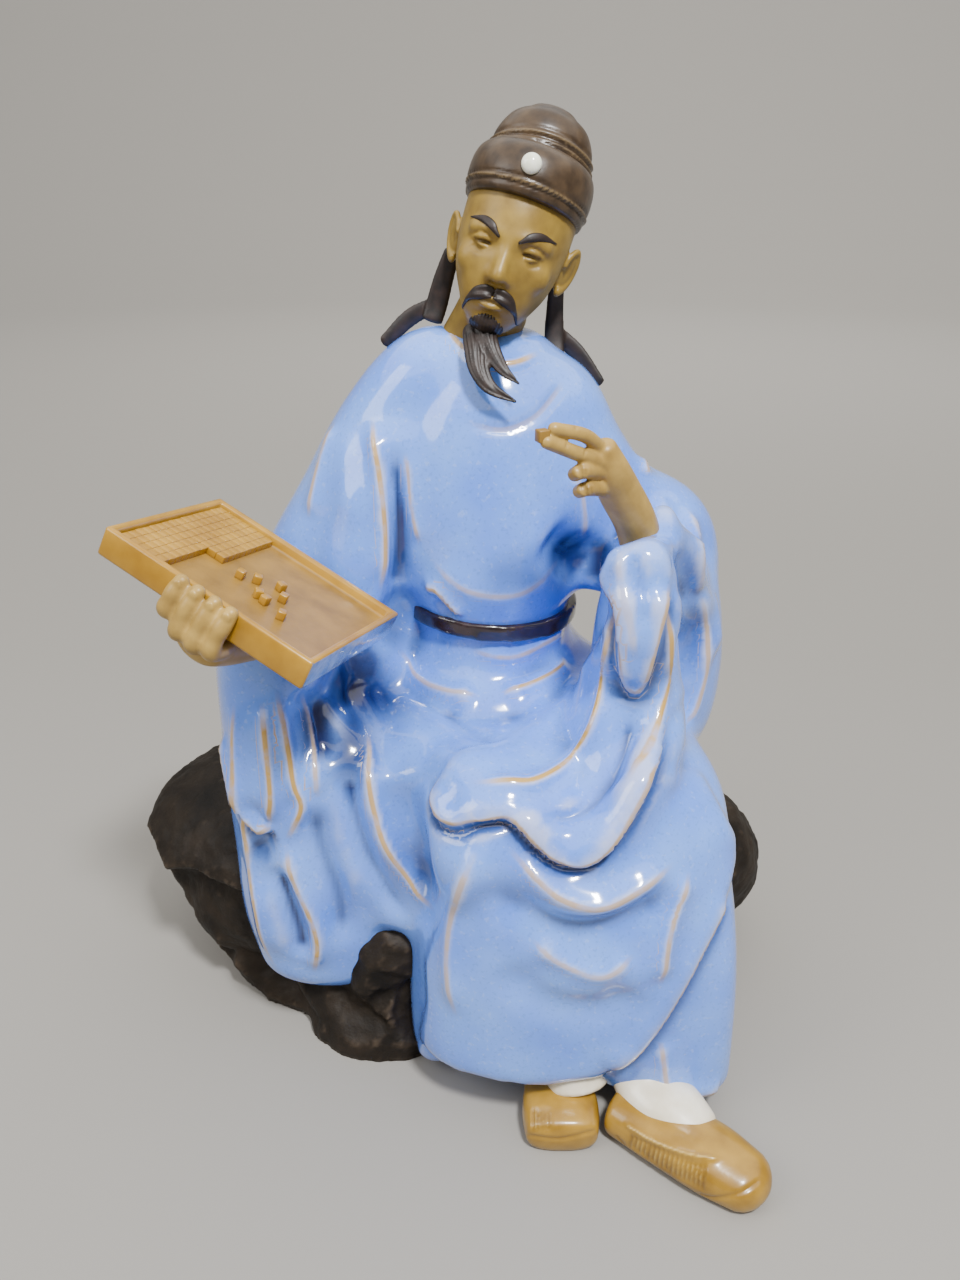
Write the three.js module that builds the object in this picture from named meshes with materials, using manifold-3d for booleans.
// A glazed pottery figure: a bearded scholar in a round-collared robe sits on a rock, holds a
// tray of movable type and lifts one piece of type. Millimetres, +Z up, the figure faces -Y.
// The whole figure is one fired piece, so every form below is joined into one solid.

import * as THREE from 'three';
import { mergeVertices } from 'three/addons/utils/BufferGeometryUtils.js';
import Module from 'manifold-3d';

const wasm = await Module();
wasm.setup();

// Driving dimensions
const ORIGIN_SHIFT = new THREE.Vector3(8.2, 31.3, 0); // moves the middle of the base to the origin
const BELT_HEIGHT = 147;
const HEAD_CENTRE = new THREE.Vector3(9.4, -3.5, 260);
const HEAD_TURN = THREE.MathUtils.degToRad(-7); // the face turns to the tray side
const HEAD_ROLL = THREE.MathUtils.degToRad(16.5); // the crown leans to the raised hand
const CAP_RIM = new THREE.Vector3(0, 1, 11.5); // middle of the cap's rim, seen from the head
const CAP_TILT = THREE.MathUtils.degToRad(-15); // the rim is higher over the forehead
const TRAY_CENTRE = new THREE.Vector3(-63.2, -55.9, 176.7);
const TRAY_ANGLES = [-9, 24.5, -24].map(THREE.MathUtils.degToRad);
const TRAY = { length: 70, width: 55, height: 9, rim: 3.2, recess: 3.4 };
const GLAZE_COLOUR = '#8fadde';

const X = new THREE.Vector3(1, 0, 0);
const Y = new THREE.Vector3(0, 1, 0);
const Z = new THREE.Vector3(0, 0, 1);

// Solids and booleans

function toSolid(geometry) {
  const vertProperties = new Float32Array(geometry.attributes.position.array);
  const triVerts = new Uint32Array(geometry.index.array);
  return new wasm.Manifold(new wasm.Mesh({ numProp: 3, vertProperties, triVerts }));
}

function joined(solids) {
  return solids.reduce((whole, solid) => whole.add(solid));
}

// One ring of a loft: a superellipse of half-width w along side and half-depth d across it.
function ring(centre, side, across, w, d, count, power) {
  const points = [];
  for (let i = 0; i < count; i++) {
    const angle = (i / count) * Math.PI * 2;
    const c = Math.cos(angle);
    const s = Math.sin(angle);
    const u = Math.sign(c) * Math.abs(c) ** (2 / power) * w;
    const v = Math.sign(s) * Math.abs(s) ** (2 / power) * d;
    points.push(centre.clone().addScaledVector(side, u).addScaledVector(across, v));
  }
  return points;
}

// A closed solid from a stack of rings, with a point at each end.
function fromRings(rings, first, last) {
  const count = rings[0].length;
  const points = [first, ...rings.flat(), last];
  const end = points.length - 1;
  const faces = [];
  for (let i = 0; i < count; i++) {
    const j = (i + 1) % count;
    faces.push(0, 1 + j, 1 + i);
    faces.push(end, end - count + i, end - count + j);
    for (let r = 0; r + 1 < rings.length; r++) {
      const a = 1 + r * count;
      const b = a + count;
      faces.push(a + i, a + j, b + j, a + i, b + j, b + i);
    }
  }
  const geometry = new THREE.BufferGeometry().setFromPoints(points);
  geometry.setIndex(faces);
  return geometry;
}

// A rounded end narrows to this share of its width at the same share of its length.
const SHOULDER = 0.7;

// A limb, fold or lump: a smooth loft through rows of [x, y, z, half-width, half-depth].
// side is the direction of the half-width; ends are the lengths of the two rounded ends.
function limb(rows, { side = X, count = 10, steps = 1, power = 2, ends = [3, 3] } = {}) {
  const path = new THREE.CatmullRomCurve3(rows.map(([x, y, z]) => new THREE.Vector3(x, y, z)));
  const sizes = new THREE.CatmullRomCurve3(rows.map((row) => new THREE.Vector3(row[3], row[4], 0)));
  const total = (rows.length - 1) * steps;
  const rings = [];
  const addRing = (t, size, offset) => {
    const tangent = path.getTangent(t).normalize();
    const along = side.clone().addScaledVector(tangent, -side.dot(tangent)).normalize();
    const across = new THREE.Vector3().crossVectors(tangent, along);
    const centre = path.getPoint(t).addScaledVector(tangent, offset);
    const { x: w, y: d } = sizes.getPoint(t);
    rings.push(ring(centre, along, across, w * size, d * size, count, power));
  };
  const startTangent = path.getTangent(0).normalize();
  const first = path.getPoint(0).addScaledVector(startTangent, -ends[0]);
  addRing(0, SHOULDER, -SHOULDER * ends[0]);
  for (let k = 0; k <= total; k++) {
    addRing(k / total, 1, 0);
  }
  addRing(1, SHOULDER, SHOULDER * ends[1]);
  const last = path.getPoint(1).addScaledVector(path.getTangent(1).normalize(), ends[1]);
  return toSolid(fromRings(rings, first, last));
}

function box(width, depth, height, x, y, z) {
  const geometry = new THREE.BoxGeometry(width, depth, height);
  geometry.deleteAttribute('normal');
  geometry.deleteAttribute('uv');
  geometry.translate(x, y, z);
  return toSolid(mergeVertices(geometry));
}

// Rock: a rough drum with a flat underside and uneven sides
function rock() {
  const levels = [
    [-6, 0, 0, 99, 58],
    [-7, 0, 17, 108, 60],
    [-11, 0, 27, 115, 61],
    [-12, 0, 50, 117, 60],
    [-14, 2, 64, 115, 57],
    [-13, 4, 74, 107, 50],
    [-12, 6, 79, 94, 42],
  ];
  const count = 22;
  const rough = (angle, z) => {
    const slow = 0.03 * Math.sin(3 * angle + 0.9) + 0.02 * Math.sin(5 * angle + 0.04 * z);
    return 1 + slow + 0.02 * Math.sin(9 * angle + 0.07 * z);
  };
  const rings = levels.map(([x, y, z, w, d]) => {
    const centre = new THREE.Vector3(x, y, z);
    const outline = ring(centre, X, Y, w, d, count, 2.4);
    return outline.map((point, i) => {
      const factor = rough((i / count) * Math.PI * 2, z);
      return point.sub(centre).multiplyScalar(factor).add(centre);
    });
  });
  const bottom = new THREE.Vector3(-6, 0, 0);
  const top = new THREE.Vector3(-12, 6, 82);
  const boulder = limb([
    [-34, -50, -2, 28, 20],
    [-32, -53, 24, 22, 19],
    [-28, -56, 42, 12, 13],
  ], { count: 10, ends: [1, 12] });
  return toSolid(fromRings(rings, bottom, top)).add(boulder);
}

// Robe: body, lap, legs and the cloth that falls behind
function robeBody() {
  const torso = limb([
    [4, 12, 84, 46, 34],
    [3, 7, 116, 37, 32],
    [3, 2, BELT_HEIGHT - 14, 30, 30],
    [3, 1, BELT_HEIGHT, 28, 30],
    [3, 0, BELT_HEIGHT + 12, 33, 34],
    [3, 0, 178, 38, 33],
    [4, 0, 198, 37, 29],
    [5, 1, 214, 31, 25],
    [6, 2, 226, 23, 20],
    [7, 2, 235, 15, 15],
  ], { count: 16, ends: [2, 3] });
  const armpit = limb([
    [-22, -4, 206, 16, 17],
    [-33, -6, 182, 17, 21],
    [-40, -8, 160, 18, 24],
    [-42, -10, 132, 18, 21],
    [-42, -12, 104, 18, 20],
  ], { count: 12 });
  const lap = limb([
    [2, 14, 104, 50, 26],
    [6, -20, 104, 48, 25],
    [16, -50, 99, 45, 22],
    [24, -70, 92, 42, 19],
  ], { count: 16, power: 2.3, ends: [4, 10] });
  const rightThigh = limb([
    [-14, 4, 102, 28, 22],
    [-11, -26, 99, 27, 20],
    [-2, -58, 97, 22, 19],
    [1, -79, 94, 18, 18],
  ], { ends: [4, 13] });
  const leftThigh = limb([
    [30, 4, 102, 31, 24],
    [40, -24, 101, 31, 23],
    [52, -52, 96, 28, 21],
    [58, -71, 90, 22, 18],
  ], { ends: [4, 13] });
  const skirt = limb([
    [28, -54, 100, 45, 32],
    [30, -60, 82, 50, 34],
    [30, -65, 58, 51, 32],
    [30, -68, 34, 51, 30],
    [30, -70, 16, 50, 29],
  ], { count: 18, power: 2.4, ends: [4, 2] });
  const sideDrape = limb([
    [-26, -36, 106, 19, 30],
    [-25, -42, 78, 19, 29],
    [-27, -46, 54, 15, 23],
  ], { ends: [4, 8] });
  const backDrape = limb([
    [2, 28, 112, 30, 24],
    [4, 34, 92, 46, 28],
    [4, 42, 62, 56, 25],
    [4, 46, 36, 52, 22],
  ], { count: 12, ends: [4, 4] });
  const skirtCorners = [
    [[-7, -58, 66, 14, 19], [-8, -60, 34, 16, 18], [-8, -60, 6, 16, 17]],
    [[66, -62, 84, 13, 21], [69, -71, 50, 14, 20], [69, -76, 6, 15, 18]],
  ].map((rows) => limb(rows, { power: 2.8, ends: [4, 3] }));
  const seat = box(60, 60, 40, 4, -10, 80); // closes the slits between the forms
  const legs = [lap, rightThigh, leftThigh, skirt, ...skirtCorners];
  return joined([torso, seat, armpit, ...legs, sideDrape, backDrape]);
}

// The arm that holds the tray, with its long hanging sleeve
function trayArm() {
  const upperArm = limb([
    [-4, 4, 226, 17, 11],
    [-17, 3, 222, 19, 15],
    [-32, 3, 204, 20, 16],
    [-46, 3, 180, 22, 16],
    [-57, 4, 158, 24, 18],
    [-64, 0, 140, 22, 17],
  ], { side: Y, ends: [4, 6] });
  const sleeve = limb([
    [-70, -28, 158, 13, 32],
    [-66, -28, 138, 20, 32],
    [-58, -32, 110, 28, 31],
    [-54, -38, 80, 30, 27],
    [-53, -45, 50, 29, 21],
    [-54, -49, 31, 24, 15],
  ], { count: 18, power: 2.4, ends: [6, 12] });
  return joined([upperArm, sleeve]);
}

// The raised arm: upper arm, forearm, the cuff and the cloth that falls from it over the lap
function raisedArm() {
  const upperArm = limb([
    [14, 4, 223, 17, 11],
    [25, 3, 214, 19, 14],
    [34, 3, 198, 19, 14],
    [47, 5, 181, 20, 14],
    [63, 8, 167, 20, 18],
    [68, 7, 148, 20, 17],
  ], { side: Y, ends: [4, 6] });
  const forearm = limb([
    [66, 4, 144, 14, 17],
    [63, -14, 154, 14, 18],
    [57, -31, 169, 13, 15],
    [51, -44, 182, 11, 12],
  ], { ends: [6, 3] });
  const curtain = limb([
    [50, -30, 174, 10, 16],
    [48, -37, 152, 12, 20],
    [48, -42, 134, 14, 22],
    [46, -48, 118, 19, 25],
  ], { ends: [4, 6] });
  const outerLobe = limb([
    [66, 0, 156, 16, 20],
    [69, -4, 130, 16, 25],
    [67, -8, 106, 15, 23],
    [61, -12, 92, 11, 16],
  ], { ends: [6, 6] });
  const lapLobe = limb([
    [51, -38, 122, 22, 12],
    [43, -50, 114, 31, 13],
    [31, -57, 106, 34, 13],
    [17, -61, 109, 29, 11],
    [4, -66, 113, 24, 9],
    [-6, -72, 114, 16, 7],
  ], { side: Y, count: 18, ends: [6, 5] });
  const cuffLobe = limb([
    [47, -55, 184, 11, 9],
    [47, -58, 170, 11, 8],
    [47, -60, 155, 9, 7],
    [47, -60, 145, 5, 4],
  ], { count: 12, ends: [2, 4] });
  const cuffOpening = limb([
    [36, -63, 191, 5, 5],
    [43, -54, 188, 5, 5],
  ], { count: 8, ends: [1, 2] });
  const cloth = joined([upperArm, forearm, curtain, outerLobe, lapLobe, cuffLobe]);
  return cloth.subtract(cuffOpening);
}

// Head and cap are shaped upright about the middle of the skull, then turned into place.
function placeHead(solid) {
  const turn = new THREE.Matrix4().makeRotationZ(HEAD_TURN);
  const place = new THREE.Matrix4().makeRotationY(HEAD_ROLL).multiply(turn);
  place.setPosition(HEAD_CENTRE);
  return solid.transform(place.toArray());
}

function head() {
  const skull = limb([
    [0, -7, -20, 9, 9.5],
    [0, -5, -12, 13.2, 15],
    [0, -2.5, -3, 15.8, 18],
    [0, 0, 6, 16.8, 20],
    [0, 2, 16, 16.4, 19.4],
  ], { count: 12, ends: [3, 6] });
  const nose = limb([
    [0, -19.5, 1, 1.6, 1.8],
    [0, -21.5, -4, 2.2, 2.6],
    [0, -22, -7, 2.6, 2.2],
  ], { count: 8, ends: [1.5, 1.5] });
  const ears = [-1, 1].map((hand) => limb([
    [hand * 15.8, 1, -8, 1.8, 2.4],
    [hand * 16.8, 2.4, -2, 2.4, 3.8],
    [hand * 17, 3, 3, 2.2, 3.2],
  ], { count: 8, ends: [1.5, 1.5] }));
  const neck = limb([
    [-6, 6, -42, 13, 13],
    [-3, 5, -30, 11.5, 12],
    [0, 3, -16, 11, 12],
  ], { count: 8, ends: [2, 2] });
  return placeHead(joined([skull, nose, ...ears, neck]));
}

// The soft cap is shaped upright on the middle of its rim: a low front and a taller back.
function cap() {
  const front = limb([
    [0, 0, 0, 18.2, 21.6],
    [0, 0, 5, 19, 22.4],
    [0, 0.5, 11, 18.6, 21.8],
    [0, 1.5, 14.6, 16.8, 19.2],
  ], { count: 16, ends: [0.8, 2.5] });
  const back = limb([
    [0, 5, 9, 17.4, 16.6],
    [0, 5, 16, 16.6, 15.8],
    [0, 4.5, 22, 14.8, 13.8],
    [0, 4, 26.5, 11.4, 10.6],
  ], { count: 12, ends: [2, 3.2] });
  const pearl = limb([
    [0, -21.2, 7.6, 2.9, 2.9],
    [0, -22.6, 7.6, 2.8, 2.8],
  ], { count: 8, ends: [1, 1.8] });
  const tilt = new THREE.Matrix4().makeRotationX(CAP_TILT);
  tilt.setPosition(CAP_RIM);
  return placeHead(joined([front, back, pearl]).transform(tilt.toArray()));
}

function beard() {
  return limb([
    [-3.2, -13, 240, 5, 3.4],
    [-1.6, -19, 235.5, 5.4, 3],
    [1, -23.6, 229.5, 4.8, 2.4],
    [4.6, -27, 225, 3.4, 1.8],
    [9.6, -29, 221.8, 1.5, 1],
  ], { count: 8, ends: [2, 1.4] });
}

// The cap's two tails hang behind the ears; the ends of its ribbon lie on the shoulders.
function capTails() {
  const tails = [
    [[-5.6, 5, 260, 3, 2], [-11.4, 6.5, 251, 3.2, 1.4], [-15.2, 5.5, 238.6, 3.4, 1.3]],
    [[24.2, 7, 251, 2.4, 1.4], [23.9, 8, 242, 2.8, 1.4], [24.3, 5, 227.5, 3, 1.3]],
    [[-12.6, 6.4, 244, 2, 1.4], [-22.4, 8, 239.4, 1.9, 1.1], [-29.9, 7, 232.8, 1.6, 1]],
    [[25, 9, 234, 1.7, 1.1], [31.8, 8, 227.8, 1.9, 1.1], [38.2, 7, 219.8, 1.6, 1]],
  ];
  return joined(tails.map((rows) => limb(rows, { count: 6, ends: [1, 1] })));
}

// The tray and its type, shaped flat about the tray's middle with the rim's top at zero
function tray() {
  const { length, width, height, rim, recess } = TRAY;
  const block = box(length, width, height, 0, 0, -height / 2);
  const hollow = box(length - 2 * rim, width - 2 * rim, 2 * recess, 0, 0, 0);
  const setTypeWidth = length * 0.3;
  const setType = box(setTypeWidth, width - rim, recess - 0.8, rim / 2 - (length - setTypeWidth) / 2,
    0, -recess / 2 - 0.6);
  const step = box(8, width * 0.45, recess - 0.8, -length / 2 + setTypeWidth + 3,
    -width * 0.2, -recess / 2 - 0.6);
  const loose = [[-4, -4], [0, -1], [6, 3], [10, -2], [5, -8], [8, -9], [15, -11]];
  const pieces = loose.map(([x, y]) => box(2.4, 2.4, 3, x, y, -recess + 0.9));
  const whole = joined([block.subtract(hollow), setType, step, ...pieces]);
  return placeTray(whole);
}

function placeTray(solid) {
  const place = new THREE.Matrix4();
  place.makeRotationFromEuler(new THREE.Euler(...TRAY_ANGLES, 'ZYX'));
  place.setPosition(TRAY_CENTRE);
  return solid.transform(place.toArray());
}

// The fingers come from below the tray and lie on its near side; each starts at its knuckle.
function trayHand() {
  const knuckles = [[-8, -9.5], [-2, -14.5], [4, -15], [9.8, -13.5]];
  const outside = -TRAY.width / 2 - 2.4;
  const fingers = knuckles.map(([x, z]) => limb([
    [x, outside + 8, z - 1.5, 3, 3],
    [x, outside, z, 3, 3],
    [x + 0.4, outside - 0.6, z / 2 - 1.5, 2.9, 2.8],
    [x + 0.8, outside + 0.4, 0.4, 2.6, 2.4],
  ], { count: 6, ends: [2, 2] }));
  const palm = limb([
    [-72, -48, 157, 11, 8],
    [-76, -62, 160, 10, 7],
    [-77, -74, 163.5, 9, 6.5],
  ], { ends: [4, 3] });
  return palm.add(placeTray(joined(fingers)));
}

function raisedHand() {
  const wrist = limb([
    [51, -42, 178, 7, 7],
    [46, -52, 194, 7, 6],
    [40, -57, 205, 8, 6],
    [35, -60, 212, 7, 5],
  ], { count: 12, ends: [3, 3] });
  const fingers = [
    [[36, -58, 216], [29, -64, 220], [20, -69, 221.5]],
    [[34, -60, 213], [27, -66, 216.5], [18, -71, 218.5]],
    [[35, -59, 208], [29, -67, 209], [26, -64, 207.5]],
    [[37, -58, 203], [31, -65, 203.5], [28, -62, 202]],
  ].map((joints) => limb(joints.map((joint) => [...joint, 2.4, 2.6]), { count: 6, ends: [2, 2] }));
  const typePiece = limb([
    [18, -70.5, 220.5, 1.6, 1.6],
    [15, -71.5, 220.5, 1.5, 1.5],
  ], { side: Y, count: 4, ends: [0.4, 0.4] });
  return joined([wrist, ...fingers, typePiece]);
}

function shoesAndSocks() {
  const rightShoe = limb([
    [26, -84, 6, 11, 8],
    [26, -97, 6, 12, 8],
    [26, -105, 5.5, 11, 7],
  ], { count: 12, ends: [2, 4] });
  const leftShoe = limb([
    [46, -95, 8, 10, 10],
    [58, -104, 8, 11, 10],
    [70, -114, 7, 11.5, 9],
    [79, -121, 6, 10, 7.5],
  ], { count: 12, ends: [3, 9] });
  const rightSock = limb([
    [29, -82, 26, 11, 11],
    [28, -90, 11, 11, 10],
  ], { count: 8, ends: [2, 2] });
  const leftSock = limb([
    [54, -84, 28, 13, 11],
    [56, -95, 12, 13, 11],
  ], { count: 10, ends: [2, 3] });
  return joined([rightShoe, leftShoe, rightSock, leftSock]);
}

function belt() {
  return limb([
    [3, 1, BELT_HEIGHT - 3, 30, 32],
    [3, 1, BELT_HEIGHT + 1, 30.5, 32.5],
  ], { count: 20, ends: [1, 1] });
}

// Folds and hems: raised lines of cloth, each [size, points near the surface of the robe]
const FOLDS = {
  lapHem: [2.4, [63, -30, 150], [58, -55, 138], [50, -76, 122], [36, -89, 104], [24, -88, 100],
    [7, -88, 112], [-8, -85, 112], [-12, -74, 116], [-6, -62, 121]],
  curtainRidge: [2.4, [39, -56, 168], [39, -54, 150], [35, -59, 132], [26, -66, 120], [-4, -68, 121]],
  cuffHem: [2, [37, -60, 172], [42, -65, 154], [47, -64, 140], [52, -66, 160], [58, -48, 184]],
  frontEdge: [1.8, [78, -70, 70], [68, -86, 66], [55, -95, 42], [38, -98, 23], [6, -98, 15]],
  sleeveRidge: [2.4, [-80, -52, 118], [-76, -58, 94], [-69, -63, 86], [-66, -62, 122]],
  sleeveFold: [2.4, [-61, -60, 130], [-58, -62, 98], [-56, -65, 68], [-56, -66, 38]],
  armRidge: [2.2, [-36, -10, 214], [-31, -24, 196], [-31, -28, 160]],
  kneeSwag: [2.2, [2, -88, 104], [17, -92, 94], [36, -94, 86], [57, -88, 95]],
  lowSwag: [2, [0, -92, 90], [18, -95, 74], [37, -97, 64], [56, -92, 74]],
  bellySwag: [2.2, [-24, -30, 130], [-5, -42, 124], [12, -46, 124], [28, -34, 128]],
  collar: [1.4, [-18, -14, 220], [-6, -23, 213], [7, -25, 210], [18, -21, 214], [27, -6, 222]],
};

// The point of the robe's surface that is nearest to a place
function nearest(triangles, place) {
  const found = new THREE.Vector3();
  const best = { distance: Infinity, point: new THREE.Vector3() };
  for (const triangle of triangles) {
    triangle.closestPointToPoint(place, found);
    const distance = found.distanceToSquared(place);
    if (distance < best.distance) {
      best.distance = distance;
      best.point.copy(found);
    }
  }
  return best.point;
}

function trianglesOf(solid) {
  const { vertProperties, triVerts } = solid.getMesh();
  const corner = (k) => new THREE.Vector3().fromArray(vertProperties, triVerts[k] * 3);
  const triangles = [];
  for (let k = 0; k < triVerts.length; k += 3) {
    triangles.push(new THREE.Triangle(corner(k), corner(k + 1), corner(k + 2)));
  }
  return triangles;
}

// Each fold is a tapered bead that lies half sunk in the cloth.
const FOLD_STEP = 22; // length of the fold between two rings

function folds(robe) {
  const triangles = trianglesOf(robe);
  return Object.values(FOLDS).map(([size, ...points]) => {
    const curve = new THREE.CatmullRomCurve3(points.map((point) => new THREE.Vector3(...point)));
    const count = Math.max(4, Math.round(curve.getLength() / FOLD_STEP));
    const rows = curve.getSpacedPoints(count).map((point, k) => {
      const taper = 0.45 + 0.55 * Math.sin((k / count) * Math.PI);
      return [...nearest(triangles, point).toArray(), size * taper, size * taper];
    });
    return limb(rows, { side: Z, count: 4, ends: [size, size] });
  });
}

// The whole figure, cut flat below so that it stands
function figure() {
  const robe = joined([robeBody(), trayArm(), raisedArm()]);
  const whole = joined([
    robe, ...folds(robe), rock(), belt(), head(), cap(), beard(), capTails(),
    tray(), trayHand(), raisedHand(), shoesAndSocks(),
  ]);
  const ground = box(400, 400, 60, 0, 0, -30);
  const cut = whole.subtract(ground);
  const mesh = cut.getMesh();
  const geometry = new THREE.BufferGeometry();
  geometry.setAttribute('position', new THREE.BufferAttribute(mesh.vertProperties, 3));
  geometry.setIndex(new THREE.BufferAttribute(mesh.triVerts, 1));
  return geometry;
}

const group = new THREE.Group();
const glaze = new THREE.MeshStandardMaterial({ color: GLAZE_COLOUR, roughness: 0.2, metalness: 0 });
const potteryFigure = new THREE.Mesh(figure(), glaze);
potteryFigure.name = 'pottery_figure';
potteryFigure.position.copy(ORIGIN_SHIFT);
group.add(potteryFigure);

export default group;
